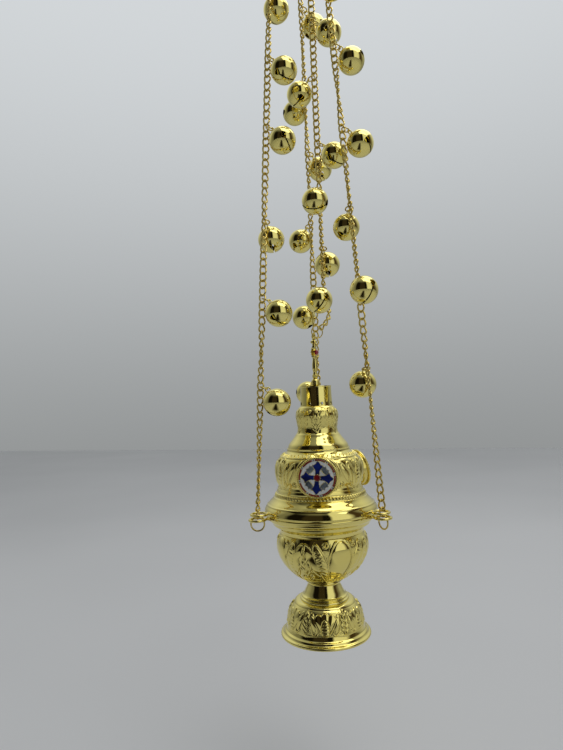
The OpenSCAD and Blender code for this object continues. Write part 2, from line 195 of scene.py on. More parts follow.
STEEL = {"coat": 0.0, "metallic": 1.0}
M_WHITE = coated("enamel_white", (0.80, 0.81, 0.82), (0.58, 0.60, 0.62), 0.14)
M_BLUE = coated("enamel_blue", (0.008, 0.024, 0.21), (0.003, 0.006, 0.05), 0.10, coat=0.25)
M_RED = coated("enamel_red", (0.26, 0.012, 0.016), (0.13, 0.004, 0.008), 0.12)
M_BLACK = coated("enamel_black", (0.02, 0.02, 0.02), (0.008, 0.008, 0.008), 0.12)
M_SILVER = coated("enamel_silver", (0.27, 0.31, 0.35), (0.07, 0.09, 0.11), 0.25, coat=0.3, metallic=0.3)
M_CUP = coated("cup_steel", (0.50, 0.48, 0.45), (0.36, 0.34, 0.31), 0.34, scale=60.0, **STEEL)
M_SCREW = coated("screw_steel", (0.56, 0.55, 0.52), (0.44, 0.43, 0.40), 0.28, scale=300.0, **STEEL)


def gem_material():
    m, nt, b = new_material("gem_red")
    nt.links.new(drift(nt, 500.0, 2.0, (0.35, 0.0, 0.02), (0.62, 0.01, 0.05)), b.inputs["Base Color"])
    for key, v in (("Roughness", 0.04), ("Transmission Weight", 0.45), ("IOR", 1.54), ("Coat Weight", 0.7)):
        b.inputs[key].default_value = v
    return m


M_GEM = gem_material()


# -------- mesh helpers

def build(name, verts, faces, body, mat, slot, nodes=(), attrs=None):
    """Makes one visible piece from vertices in mm and faces that all have as many corners."""
    v = np.asarray(verts, float).reshape(-1, 3).copy() * MM
    v[:, 2] += BASE
    me = bpy.data.meshes.new(name)
    faces = np.asarray(faces)
    me.vertices.add(len(v))
    me.vertices.foreach_set("co", v.astype(np.float32).ravel())
    n = faces.shape[1]
    me.loops.add(faces.size)
    me.loops.foreach_set("vertex_index", faces.astype(np.int32).ravel())
    me.polygons.add(len(faces))
    me.polygons.foreach_set("loop_start", np.arange(0, faces.size, n, dtype=np.int32))
    me.polygons.foreach_set("loop_total", np.full(len(faces), n, np.int32))
    me.update(calc_edges=True)
    me.validate()
    me.polygons.foreach_set("use_smooth", np.ones(len(me.polygons), bool))
    for k, a in (attrs or {}).items():
        at = me.attributes.new(k, "FLOAT", "POINT")
        at.data.foreach_set("value", np.asarray(a, np.float32).ravel())
    me.materials.append(mat)
    o = bpy.data.objects.new(name, me)
    bpy.context.scene.collection.objects.link(o)
    return settle(o, body, slot, nodes)


def settle(o, body, slot, nodes=()):
    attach(o, body)
    if nodes:
        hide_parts(*nodes)
    return o


def quads(ns, nt, wrap_s=False):
    """Faces of a grid of ns rows of nt points whose rows are closed, and its columns too with wrap_s."""
    a, b = np.meshgrid(np.arange(ns if wrap_s else ns - 1), np.arange(nt), indexing="ij")
    a2, b2 = (a + 1) % ns, (b + 1) % nt
    return np.stack([a * nt + b, a * nt + b2, a2 * nt + b2, a2 * nt + b], -1).reshape(-1, 4)


def span(a, b, c, d, n):
    """n points of a Catmull-Rom curve, from b on towards c."""
    square, cube = 2 * a - 5 * b + 4 * c - d, 3 * b - a - 3 * c + d
    return [0.5 * (2 * b + (c - a) * t + square * t * t + cube * t ** 3) for t in (k / n for k in range(n))]


def spline(p, n):
    """Catmull-Rom through points, as the CAD profiles use, with n steps per span."""
    p = np.asarray(p, float)
    out = []
    for i in range(len(p) - 1):
        out += span(p[max(i - 1, 0)], p[i], p[i + 1], p[min(i + 2, len(p) - 1)], n)
    out.append(p[-1])
    return np.array(out)


def resample(p, step):
    """The polyline p with a point about every step, corners kept."""
    out = [p[0]]
    for a, b in zip(p[:-1], p[1:]):
        m = max(1, int(math.ceil(np.linalg.norm(b - a) / step)))
        out += [a + (b - a) * k / m for k in range(1, m + 1)]
    return np.array(out)


def lathe(node, outer, inner, nt, body, mat, relief=None, step=None):
    """A thin spun shell in place of a CAD node: outer goes from bottom to top and inner from top to bottom.

    relief(theta, z) gives the lift of the outer face and where its ground is stippled.
    """
    outer = np.asarray(outer, float)
    if step:
        outer = resample(outer, step)
    n_out = len(outer)
    prof = np.vstack([outer, np.asarray(inner, float)])
    th = np.arange(nt) * TAU / nt
    tang = np.gradient(outer, axis=0)
    nrm = np.stack([tang[:, 1], -tang[:, 0]], 1)
    nrm /= np.maximum(np.linalg.norm(nrm, axis=1, keepdims=True), 1e-9)
    R = np.repeat(prof[:, :1], nt, 1)
    Z = np.repeat(prof[:, 1:], nt, 1)
    ground = np.zeros_like(R)
    if relief is not None:
        T, ZZ = np.meshgrid(th, outer[:, 1])
        h, g = relief(np.broadcast_to(T, ZZ.shape), ZZ)
        R[:n_out] += h * nrm[:, :1]
        Z[:n_out] += h * nrm[:, 1:]
        ground[:n_out] = g
    V = np.stack([R * np.cos(th), R * np.sin(th), Z], -1)
    build(node + "_spun", V, quads(len(prof), nt, wrap_s=True), body, mat, "polished_brass", [node],
          attrs={"ground": ground})


def offset_in(p, w):
    """The inner face of a wall w thick, from top to bottom."""
    q = np.asarray(p, float)[::-1].copy()
    q[:, 0] = np.maximum(q[:, 0] - w, 0.02)
    return q


def tube(path, radius, ns=10, closed=True):
    """Vertices and faces of a round wire along path, with a frame that doesn't twist."""
    path = np.asarray(path, float)
    n = len(path)
    tan = (np.roll(path, -1, 0) - np.roll(path, 1, 0)) if closed else np.gradient(path, axis=0)
    tan /= np.linalg.norm(tan, axis=1, keepdims=True)
    ref = np.zeros(3)
    ref[np.argmin(np.abs(tan[0]))] = 1
    u = np.cross(tan[0], ref)
    u /= np.linalg.norm(u)
    us = [u]
    for k in range(1, n):
        u = us[-1] - tan[k] * np.dot(us[-1], tan[k])
        us.append(u / np.linalg.norm(u))
    us = np.array(us)
    if closed:
        u = us[-1] - tan[0] * np.dot(us[-1], tan[0])
        u /= np.linalg.norm(u)
        w = np.cross(tan[0], us[0])
        slip = math.atan2(np.dot(u, w), np.dot(u, us[0]))
        a = -slip * np.arange(n) / n
        ws = np.cross(tan, us)
        us = us * np.cos(a)[:, None] + ws * np.sin(a)[:, None]
    ws = np.cross(tan, us)
    a = np.arange(ns) * TAU / ns
    around = np.cos(a)[None, :, None] * us[:, None, :] + np.sin(a)[None, :, None] * ws[:, None, :]
    V = (path[:, None, :] + radius * around).reshape(-1, 3)
    F = quads(n, ns, wrap_s=closed)
    if not closed:
        V = np.vstack([V, path[0], path[-1]])
        k, end = np.arange(ns), (n - 1) * ns
        near, far = np.full(ns, n * ns), np.full(ns, n * ns + 1)
        lo = np.stack([k, near, near, (k + 1) % ns], 1)
        hi = np.stack([end + (k + 1) % ns, far, far, end + k], 1)
        F = np.vstack([F, lo, hi])
    return V, F


def circle_path(R, n, gap=0.0, start=0.0):
    """n points round a circle, open by the angle gap, which is centred on start."""
    if gap:
        t = start + gap / 2 + (TAU - gap) * np.arange(n) / (n - 1)
    else:
        t = start + TAU * np.arange(n) / n
    return np.stack([R * np.cos(t), R * np.sin(t), np.zeros(n)], 1)


def join(parts):
    """One mesh from many."""
    V, F, k = [], [], 0
    for v, f in parts:
        V.append(v)
        F.append(f + k)
        k += len(v)
    return np.vstack(V), np.vstack(F)


def turn(V, az=0.0, about_y=0.0, shift=(0, 0, 0)):
    """Rotates about Y, then about Z by az degrees, then moves."""
    V = np.asarray(V, float)
    b, a = math.radians(about_y), math.radians(az)
    ry = np.array([[math.cos(b), 0, math.sin(b)], [0, 1, 0], [-math.sin(b), 0, math.cos(b)]])
    rz = np.array([[math.cos(a), -math.sin(a), 0], [math.sin(a), math.cos(a), 0], [0, 0, 1]])
    return V @ (rz @ ry).T + np.asarray(shift, float)


def polar(r, az, z):
    """The point at radius r, azimuth az and height z."""
    return turn([[r, 0, z]], az)[0]


STAND_UP = np.array([[1, 0, 0], [0, 0, -1], [0, 1, 0]])   # stands the XY plane up into XZ


# -------- ornament, all functions of angle and height

MEDAL_R, MEDAL_Z, MEDAL_LEAN = 37.5, 130.8, 12.0
MEDAL_AZ = (270.0, 30.0, 126.0)
BOWL_ROUND, DOME_ROUND, NECK_ROUND, FOOT_ROUND = 36.0, 36.5, 17.5, 30.0   # radii that turn angle into width
FOOT_START = 272.0
GROUND_LOW, GROUND_HIGH = 0.04, 0.14      # lifts between which the stippled ground fades out


def cell(th, n, az0):
    """Local angle inside one of n equal cells, the first centred at az0 degrees."""
    w = TAU / n
    return (th - math.radians(az0) + w / 2) % w - w / 2


def leaf(u, v, x0, y0, ang, L, W, h, veins, serr=0.10):
    """A pointed leaf from (x0, y0), L long and W to each side, with veins and a notched edge."""
    a = math.radians(ang)
    du, dv = u - x0, v - y0
    p = du * math.sin(a) + dv * math.cos(a)
    t = np.clip(p / L, 0, 1)
    q = du * math.cos(a) - dv * math.sin(a)
    w = W * np.sin(math.pi * t ** 0.75) ** 0.75 * (1 - serr * np.abs(np.sin(math.pi * veins * t))) + 1e-4
    e = np.abs(q) / w
    body = np.sqrt(np.clip(1 - e * e, 0, 1))
    rib = 0.80 + 0.20 * np.cos(TAU * (veins * t - 1.1 * e))
    mid = 1 - 0.45 * np.exp(-(q / (0.09 * W)) ** 2)
    return np.where((p > 0) & (p < L) & (e < 1), h * body ** 0.7 * rib * mid, 0)


def volute(u, v, x0, y0, R, turns, hand, h):
    """A scroll of radius R that winds in to a round eye."""
    du, dv = u - x0, v - y0
    rho = np.hypot(du, dv)
    s = (rho / R * turns - hand * np.arctan2(dv, du) / TAU) % 1
    ridge = np.sin(math.pi * s) ** 1.2
    eye = np.clip(1 - (rho / (0.26 * R)) ** 2, 0, 1) ** 0.5
    fade = np.clip((R - rho) / (0.12 * R), 0, 1)
    return np.where(rho < R, h * np.maximum(ridge * fade, eye), 0)


def up(acc, *layers):
    """The highest of all layers at each point."""
    for a in layers:
        acc = np.maximum(acc, a)
    return acc


def ground_of(h):
    return np.clip((GROUND_HIGH - h) / (GROUND_HIGH - GROUND_LOW), 0, 1)


def window(z, a, b, soft):
    """1 from a to b and 0 outside, with soft ends."""
    return np.clip((z - a) / soft, 0, 1) * np.clip((b - z) / soft, 0, 1)


def lobe(u, v, x0, y0, W, H, tilt, h, power=0.55):
    """A smooth swelling oval, and how far outside its edge each point is (1 on the edge)."""
    a = math.radians(tilt)
    du, dv = u - x0, v - y0
    p = du * math.sin(a) + dv * math.cos(a)
    q = du * math.cos(a) - dv * math.sin(a)
    e = np.hypot(q / W, p / H)
    return np.where(e < 1, h * np.clip(1 - e * e, 0, 1) ** power, 0), e


def ribbed(v, u, v0, pitch, arch, inside):
    """Cross ribs that arch away from the middle line, where inside is true."""
    return 1 - 0.30 * (0.5 + 0.5 * np.cos(TAU * ((v - v0) / pitch + arch * np.abs(u)))) * inside


def crest(e, at, width, h):
    """A fine raised line."""
    return h * np.exp(-((e - at) / width) ** 2)


def relief_bowl(th, z):
    """Four smooth panels between ribbed lobes and scrolls, with a fan of leaves between neighbours."""
    u = cell(th, 4, 294.0) * BOWL_ROUND
    h = np.zeros_like(z)
    panel, e = lobe(u, z, 0.0, 64.8, 8.4, 17.0, 8, 1.1, 0.30)
    h = up(h, panel, crest(e, 1.14, 0.05, 0.8), crest(e, 1.32, 0.045, 0.55) * (z < 70))
    for s in (1, -1):
        w = u * s
        big, eb = lobe(w, z, 14.6, 64.0, 3.9, 15.2, 17, 1.5)
        far, ef = lobe(w, z, 21.6, 66.5, 3.7, 12.6, 24, 1.25)
        ribs = ribbed(z, (w - 14.6) / 3.9, 48, 3.3, 0.55, eb < 0.8)
        h = up(h, big * ribs, crest(eb, 1.13, 0.06, 0.75), far, crest(ef, 1.16, 0.07, 0.6),
               volute(w, z, 11.6, 79.3, 2.6, 1.3, s, 1.1),
               volute(w, z, 25.0, 52.5, 2.8, 1.4, -s, 1.0),
               leaf(w, z, 6.0, 46.5, 46, 11, 2.6, 0.9, veins=4))
    b = np.abs(u) - 28.27
    fan = leaf(b, z, 0.0, 52.0, 0, 27.5, 4.6, 1.7, veins=5, serr=0.22)
    side = leaf(np.abs(b), z, 0.6, 55.0, 28, 17, 2.7, 1.25, veins=4, serr=0.2)
    bud, _ = lobe(b, z, 0.0, 49.6, 2.2, 3.4, 0, 1.0)
    h = up(h, fan, side, bud)
    h = up(h, 0.8 * np.abs(np.sin(th * 16)) ** 0.5 * window(z, 44.6, 49.0, 1.3))
    h = h * window(z, 44.2, 82.6, 1.3)
    return h * 0.72 - 1.05, ground_of(h) * window(z, 47, 81.5, 1.0)


def relief_dome(th, z):
    """Lobes and scrolls between the medallions, a raised line round each, and a toothed border on top."""
    u = cell(th, 3, 330.0) * DOME_ROUND
    h = np.zeros_like(z)
    mid, em = lobe(u, z, 0.0, 129.5, 3.4, 9.6, 0, 1.5)
    ribs = ribbed(z, u / 3.4, 120, 3.0, 0.5, em < 0.85)
    h = up(h, mid * ribs, crest(em, 1.15, 0.07, 0.6))
    for s in (1, -1):
        w = u * s
        a, ea = lobe(w, z, 7.6, 130.2, 3.0, 10.0, 20, 1.35)
        b, eb = lobe(w, z, 14.2, 132.6, 2.6, 8.4, 30, 1.1)
        h = up(h, a, crest(ea, 1.16, 0.08, 0.6), b, crest(eb, 1.18, 0.09, 0.5),
               leaf(w, z, 1.0, 120.3, 62, 14, 2.4, 0.95, veins=5, serr=0.2),
               volute(w, z, 5.2, 142.6, 2.6, 1.3, s, 0.95),
               volute(w, z, 18.2, 124.2, 2.4, 1.3, -s, 0.85))
    near = np.full_like(z, 99.0)
    for az in MEDAL_AZ:
        m = ((th - math.radians(az) + math.pi) % TAU - math.pi) * DOME_ROUND
        near = np.minimum(near, np.hypot(m, z - MEDAL_Z))
    h = h * np.clip((near - 16.4) / 0.8, 0, 1)
    h = up(h, crest(near, 17.6, 0.7, 0.55) * window(z, 119.5, 146, 1.0))
    tri = np.abs((th * 52 / TAU) % 1 - 0.5) * 2
    h = up(h, 0.9 * np.clip((147.9 - z - 2.3 * tri) / 0.5, 0, 1) * window(z, 144.6, 148.4, 0.3))
    h = h * window(z, 119.4, 148.8, 0.7)
    g = ground_of(h) * window(z, 121, 144.5, 1.0) * np.clip((near - 17) / 3, 0, 1)
    return h * 0.70 - 0.75 * window(z, 119.5, 149.5, 1.5), g


def relief_neck(th, z):
    """Six upright leaves with a pair of scrolls over each."""
    u = cell(th, 6, 270.0) * NECK_ROUND
    b = np.abs(u) - 9.16
    h = up(np.zeros_like(z), leaf(u, z, 0.0, 163.0, 0, 20.5, 3.9, 1.05, veins=5, serr=0.25),
           leaf(np.abs(u), z, 0.6, 164.5, 20, 13, 1.9, 0.8, veins=4, serr=0.2),
           leaf(b, z, 0.0, 168.0, 0, 14.5, 2.0, 0.6, veins=4))
    for s in (1, -1):
        h = up(h, volute(u * s, z, 5.6, 181.0, 1.7, 1.2, s, 0.6))
    h = h * window(z, 161.5, 184, 1.0)
    return h * 0.5 - 0.4 * window(z, 162, 184, 1.5), ground_of(h) * window(z, 165, 183, 1.0)


def relief_skirt(th, z):
    """A slanted bead row between fine lines."""
    ph = th * 42 + (z - 114.0) * 0.5
    ribs = np.abs(np.sin(ph)) ** 0.7 * window(z, 113.0, 115.9, 0.7)
    line = crest(z, 112.0, 0.35, 0.25) + crest(z, 116.9, 0.35, 0.2) + crest(z, 106.2, 0.5, 0.35)
    return ribs * 0.7 + line - 0.5 * window(z, 111.4, 117.5, 1.2), ribs * 0


def relief_foot(th, z):
    """Six shells with a lobe in each and a leaf between neighbours, on a scalloped hem."""
    u = cell(th, 6, FOOT_START) * FOOT_ROUND
    b = np.abs(u) - 15.7
    ang, rho = np.arctan2(u, z - 6.0), np.hypot(u, z - 6.0)
    flute = np.abs(np.cos(ang * 9.2))
    inside = np.clip((18.2 + 1.4 * flute - rho) / 0.9, 0, 1) * np.clip((0.66 - np.abs(ang)) / 0.08, 0, 1)
    fan = inside * (0.55 + 0.45 * flute)
    core, ec = lobe(u, z, 0.0, 14.0, 3.2, 6.2, 0, 1.6)
    h = up(np.zeros_like(z), 1.15 * fan * (ec > 1.12), core * ribbed(z, u, 0, 2.4, 0.0, ec < 0.8),
           leaf(b, z, 0.0, 9.0, 0, 18.0, 3.9, 1.4, veins=5, serr=0.22))
    for s in (1, -1):
        side, es = lobe(u * s, z, 9.4, 17.0, 2.0, 6.6, 18, 1.15)
        h = up(h, side, crest(es, 1.2, 0.09, 0.5), volute(u * s, z, 9.0, 11.6, 2.0, 1.2, s, 0.8))
    h = h * window(z, 8.8, 27.8, 1.0)
    hem = 7.9 + 1.3 * np.abs(np.cos(3 * (th - math.radians(FOOT_START))))
    raised = np.clip((z - hem) / 0.6, 0, 1) * window(z, 5, 28.0, 1.0)
    return h * 0.70 + 0.35 * raised - 1.0 * window(z, 4.4, 28.2, 1.5), ground_of(h) * window(z, 10, 27, 1.0)


# -------- spun pieces

SKIRT = spline([[46.5, 98.8], [46.5, 100.4], [45.9, 103], [44.4, 105.4], [42.3, 107.8], [39.6, 110.4],
                [37.8, 113], [36.2, 116], [34.9, 119]], 8)
DOME = spline([[34.9, 119], [35.1, 122], [36, 125], [36.6, 129], [36.7, 133], [36.4, 138], [34.8, 142.2],
               [32, 145.2], [28.6, 147.6], [26.1, 149.2], [26.1, 151]], 10)
NECK = spline([[25.2, 151], [24.2, 154], [21.4, 157.6], [18.8, 161], [17.2, 164.4], [16.8, 168], [17.2, 172],
               [17.8, 176], [17.7, 179], [16.6, 182], [14.6, 184.2], [13.6, 185]], 8)
BOWL = spline([[15, 43], [20.6, 46.2], [25.7, 50], [30, 54.2], [32.9, 58], [35, 61.6], [36.6, 65], [37.7, 69],
               [38, 72.5], [37.8, 76], [36.8, 79.6], [34.7, 83.5]], 10)
RIM = spline([[34.7, 83.5], [35, 85.2], [35.9, 86.8], [37.4, 88.2], [39.4, 89.4], [40.2, 90.6], [40.6, 91.8],
              [42.2, 93], [43.4, 94.2], [43.8, 95.6]], 5)
STEM = spline([[20, 28.5], [19.7, 29.6], [18.4, 30.3], [18.7, 31.4], [17.4, 32.2], [16.4, 33.6], [15.3, 35.8],
               [14.2, 38], [13.2, 40.2], [13, 41.4], [14.1, 42.4], [15, 43]], 8)
FOOT = spline([[34, 3.6], [33, 5.6], [32.2, 8], [31.6, 10.5], [31, 13.5], [30.2, 18], [29, 21.6],
               [27.2, 24.6], [25, 27], [23, 28.2], [20, 28.5]], 10)

RIM_TOP = [[45.1, 96.1], [45.45, 96.5], [45.5, 97.0], [45.5, 98.2], [45.3, 98.55], [44.9, 98.6],
           [42.6, 98.6], [42.6, 95.8]]
FOOT_EDGE = [[33.4, 0.0], [35.6, 0.0], [36.1, 0.12], [36.5, 0.45], [36.7, 1.0], [36.68, 1.6], [36.4, 2.1],
             [35.9, 2.45], [35.3, 2.6], [34.8, 2.8], [34.4, 3.1]]
BOLT_R = 2.05
FINE, FINE_STEP = 900, 0.28

lathe("lid_skirt", SKIRT, offset_in(SKIRT, 1.5), FINE, "lid", M_EMBOSS, relief_skirt, 0.30)
lathe("lid_dome", DOME, np.vstack([[24.4, 151.0], [24.4, 150.2], offset_in(DOME[:-12], 1.6)]), FINE, "lid",
      M_EMBOSS, relief_dome, FINE_STEP)
lathe("lid_neck", NECK, np.vstack([[12.6, 185.0], offset_in(NECK[:-8], 1.3)]), 560, "lid",
      M_EMBOSS, relief_neck, 0.25)
lathe("bowl", BOWL, np.vstack([offset_in(BOWL[8:], 1.9), [13.0, 44.0], [BOLT_R, 44.0], [BOLT_R, 43.0]]), FINE,
      "suspension", M_EMBOSS, relief_bowl, FINE_STEP)
lathe("bowl_rim", np.vstack([RIM, RIM_TOP]), offset_in(RIM, 0.9), 256, "suspension", M_PLAIN)
lathe("stem", STEM, np.vstack([[BOLT_R, 43.0], [BOLT_R, 41.6], offset_in(STEM[:-20], 1.2)]), 192,
      "suspension", M_PLAIN)
foot_inside = np.vstack([[BOLT_R, 28.5], [BOLT_R, 27.4], [20, 27.4], offset_in(FOOT[:-12], 1.9) - [0, 0.7],
                         [33.4, 2.0]])
lathe("foot", np.vstack([FOOT_EDGE, FOOT]), foot_inside, FINE, "suspension", M_EMBOSS, relief_foot, FINE_STEP)


# -------- lugs: a pointed leaf bracket and a ring

LEAF_X = [45.2, 45.6, 46.0, 46.4, 46.8, 47.2, 47.6, 48.0, 48.6, 49.2, 49.8, 50.2]
LEAF_W = [6.4, 6.4, 5.7, 4.9, 4.9, 5.1, 4.0, 2.9, 2.3, 1.9, 1.7, 1.6]
LUG_RING_R, LUG_WIRE = 6.25, 1.0


def bracket(shift, z0, z1):
    """A notched leaf from z0 up to z1 that reaches out along X, with a spine and veins on top."""
    nx, ny = 46, 25
    x = np.linspace(LEAF_X[0], LEAF_X[-1], nx)
    w = np.interp(x, LEAF_X, LEAF_W)
    e = np.linspace(-1, 1, ny)
    X = np.repeat(x[:, None], ny, 1) + shift
    Y = w[:, None] * e[None]
    bulge = np.sqrt(np.clip(1 - e * e, 0, 1))[None] ** 0.6
    vein = 0.16 * np.cos(TAU * (x[:, None] / 2.4 - 0.9 * np.abs(e)[None])) * (1 - np.abs(e)[None])
    spine = 0.30 * np.exp(-(Y / 0.7) ** 2)
    top = z0 + (z1 - z0) * (0.35 + 0.65 * bulge) + (vein + spine - 0.2) * bulge
    bot = np.full_like(top, z0) + 0.25 * (1 - bulge)
    V = np.concatenate([np.stack([X, Y, top], -1), np.stack([X, Y, bot], -1)[:, ::-1]], 1)
    F = quads(nx, 2 * ny)
    caps = []
    for row in (0, nx - 1):
        first, last = row * 2 * ny, (row + 1) * 2 * ny - 1
        for j in range(ny - 1):
            cap = [first + j, first + j + 1, last - 1 - j, last - j]
            caps.append(cap if row else cap[::-1])
    return V.reshape(-1, 3), np.vstack([F, caps])


def lug_set(node, shift, z0, z1, ring_R, ring_z, body):
    parts = []
    for az in LUG_AZ:
        v, f = bracket(shift, z0, z1)
        parts.append((turn(v, az), f))
        v, f = tube(circle_path(LUG_RING_R, 64), LUG_WIRE, 14)
        parts.append((turn(v, az, shift=polar(ring_R, az, ring_z)), f))
    build(node + "_cast", *join(parts), body, M_CAST, "cast_brass", [node])


lug_set("bowl_lugs", 0.2, 96.9, 98.5, LUG_R, LUG_Z, "suspension")
lug_set("lid_lugs", -1.0, 101.2, 102.9, LID_LUG_R, LID_LUG_Z, "lid")


# -------- medallions

MEDAL_TURN = (-5.0, 3.0, 0.0)


def on_medal(parts_of):
    """Puts the meshes of parts_of, made as (right, up, out), on each of the three medallions."""
    out = []
    for az, deg in zip(MEDAL_AZ, MEDAL_TURN):
        for v, f in parts_of():
            r, u = spin2(v, deg).T
            local = np.stack([-u, r, v[:, 2]], 1)
            out.append((turn(local, az, 90 - MEDAL_LEAN, polar(MEDAL_R, az, MEDAL_Z)), f))
    return join(out)


def spun(profile, n):
    """A profile of (radius, height) spun about Z."""
    p = np.asarray(profile, float)
    th = np.arange(n) * TAU / n
    V = np.stack([p[:, :1] * np.cos(th), p[:, :1] * np.sin(th), np.repeat(p[:, 1:], n, 1)], -1)
    return V.reshape(-1, 3), quads(len(p), n, wrap_s=False)


def blob(center, r, squash_z=1.0, nu=14, nv=8):
    """A small ball, flattened by squash_z."""
    ph = np.linspace(0, math.pi, nv)
    v, f = spun(np.stack([np.maximum(r * np.sin(ph), 1e-3), -r * squash_z * np.cos(ph)], 1), nu)
    return v + np.asarray(center, float), f


def pillow(outline, z, lift=0.14, inset=0.35):
    """A filled enamel cell with a soft edge, from an outline that its centre can see."""
    o = np.asarray(outline, float)
    c = o.mean(0)
    n = len(o)
    d = o - c
    L = np.linalg.norm(d, axis=1, keepdims=True)
    shoulder, top = 1 - np.minimum(inset * 0.4 / L, 0.3), 1 - np.minimum(inset / L, 0.5)
    rings = [(o, z - 0.1), (o, z), (c + d * shoulder, z + lift * 0.7)]
    rings += [(c + d * scale, z + lift) for scale in (top, 0.25, 0.01)]
    V = np.vstack([np.column_stack([p, np.full(n, h)]) for p, h in rings])
    return V, quads(len(rings), n)


def wire_on(outline, z, r):
    o = np.asarray(outline, float)
    return tube(np.column_stack([o, np.full(len(o), z)]), r, 6)


def curve2(half):
    """A closed smooth outline from the points of its right half, which runs from the inside to the tip."""
    p = np.array(half + [(-x, y) for x, y in half[-2::-1]], float)
    q = np.vstack([p[-1:], p, p[:2]])
    return np.array([v for i in range(1, len(q) - 2) for v in span(*q[i - 1:i + 3], 4)])


def round2(r, n):
    t = np.linspace(0, TAU, n, endpoint=False)
    return np.stack([r * np.cos(t), r * np.sin(t)], 1)


def spin2(p, deg):
    """Turns the first two coordinates by deg."""
    c, s = math.cos(math.radians(deg)), math.sin(math.radians(deg))
    return np.stack([p[:, 0] * c - p[:, 1] * s, p[:, 0] * s + p[:, 1] * c], 1)


ARM = curve2([(1.5, 2.4), (1.7, 4.6), (2.4, 6.6), (3.6, 8.2), (4.1, 9.0), (2.9, 9.7), (2.1, 10.2),
              (1.4, 11.2), (0.0, 12.5)])
DIAG = curve2([(1.5, 6.2), (3.1, 6.6), (3.0, 7.9), (4.3, 9.7), (2.5, 9.3), (1.9, 10.6), (0.0, 9.7)])
FIELD_R, FIELD_Z = 14.18, 1.72
BEAD_ROW_R, BEAD_R, BEADS = 15.02, 0.52, 66
BAND_START, BAND_STEP, BAND_GAP = 15.5, 45, 4.6


def medal_case():
    """The bezel with its beads, and the short collar that it stands on."""
    yield spun([[0.02, -3.0], [4.0, -3.0], [4.0, -0.2], [15.2, 0.0], [15.7, 0.35], [15.8, 0.9], [15.7, 1.5],
                [15.4, 1.85], [15.05, 1.95], [14.6, 1.85], [14.35, 1.9], [14.22, 1.7], [14.2, 1.2],
                [0.02, 1.2]], 160)
    yield spun([[11.6, -0.1], [11.6, -4.6], [13.7, -4.6], [14.0, -2.4], [14.2, 0.1]], 120)
    for k in range(BEADS):
        a = TAU * k / BEADS
        yield blob((BEAD_ROW_R * math.cos(a), BEAD_ROW_R * math.sin(a), 1.92), BEAD_R, 0.75, 10, 7)


def medal_field():
    r = np.linspace(FIELD_R, 0.02, 24)
    crown = np.stack([r, FIELD_Z + 0.10 * (1 - (r / FIELD_R) ** 2)], 1)
    yield spun(np.vstack([[FIELD_R, 1.25], crown]), 128)


def arc_band(r0, r1, a0, a1, z):
    n = 14
    t = np.radians(np.linspace(a0, a1, n))
    o = np.vstack([np.stack([r * np.cos(b), r * np.sin(b)], 1) for r, b in ((r1, t), (r0, t[::-1]))])
    m = 2 * n
    V = np.vstack([np.column_stack([o, np.full(m, h)]) for h in (z - 0.15, z + 0.08)])
    top = [[m + k, m + k + 1, 2 * m - 2 - k, 2 * m - 1 - k] for k in range(n - 1)]
    return V, np.vstack([quads(2, m), top])


def medal_red():
    for k in range(8):
        a = BAND_START + BAND_STEP * k
        yield arc_band(12.85, 14.15, a + BAND_GAP, a + BAND_STEP - BAND_GAP, FIELD_Z)
    yield pillow(round2(2.5, 40), FIELD_Z + 0.14, 0.35, 0.8)


def medal_black():
    for k in range(8):
        a = math.radians(BAND_START + BAND_STEP * k)
        yield blob((13.62 * math.cos(a), 13.62 * math.sin(a), FIELD_Z + 0.05), 0.52, 0.5)


def medal_blue():
    for k in range(4):
        yield pillow(spin2(ARM, 90 * k), FIELD_Z + 0.10)


def medal_silver():
    for k in range(4):
        yield pillow(spin2(DIAG, 45 + 90 * k), FIELD_Z + 0.08)


def medal_wires():
    for r, lift in ((12.8, 0.10), (5.9, 0.10), (2.6, 0.16)):
        yield wire_on(round2(r, 96), FIELD_Z + lift, 0.13)
    for k in range(4):
        yield wire_on(spin2(ARM, 90 * k), FIELD_Z + 0.12, 0.12)
        yield wire_on(spin2(DIAG, 45 + 90 * k), FIELD_Z + 0.10, 0.10)


for nm, fn, mat, slot_name, rep in (
        ("medallion_cases", medal_case, M_CAST, "cast_brass", ["medallion_bezels"]),
        ("enamel_field", medal_field, M_WHITE, "enamel", ["medallion_enamels"]),
        ("enamel_red", medal_red, M_RED, "enamel", []),
        ("enamel_dots", medal_black, M_BLACK, "enamel", []),
        ("enamel_cross", medal_blue, M_BLUE, "enamel", []),
        ("enamel_rays", medal_silver, M_SILVER, "enamel", []),
        ("enamel_wires", medal_wires, M_CAST, "cast_brass", [])):
    build(nm, *on_medal(fn), "lid", mat, slot_name, rep)


# -------- chains of curb links

LINK_A, LINK_B, LINK_D = 2.4, 3.6, 0.9      # half width, half length and twist of a curb link
WIRE, PITCH = 0.72, 5.9
END_A, END_B, END_WIRE = 2.05, 3.65, 0.65   # the same for the plain link at the lid chain's end
LEAN = 0.066
SLOPE = math.degrees(math.atan(LEAN))
STEP_Z = PITCH * math.cos(math.radians(SLOPE))
FIRST_Z = 102.338
LINKS = 94
LINE_R, LINE_Z, LID_LINKS = 11.559, 284.111, 66
BOW_R, BOW_Z, BOW = 6.9, 249.6, [50, 35, 10, -10, -20, -12]     # where the slack bow starts, and its leans

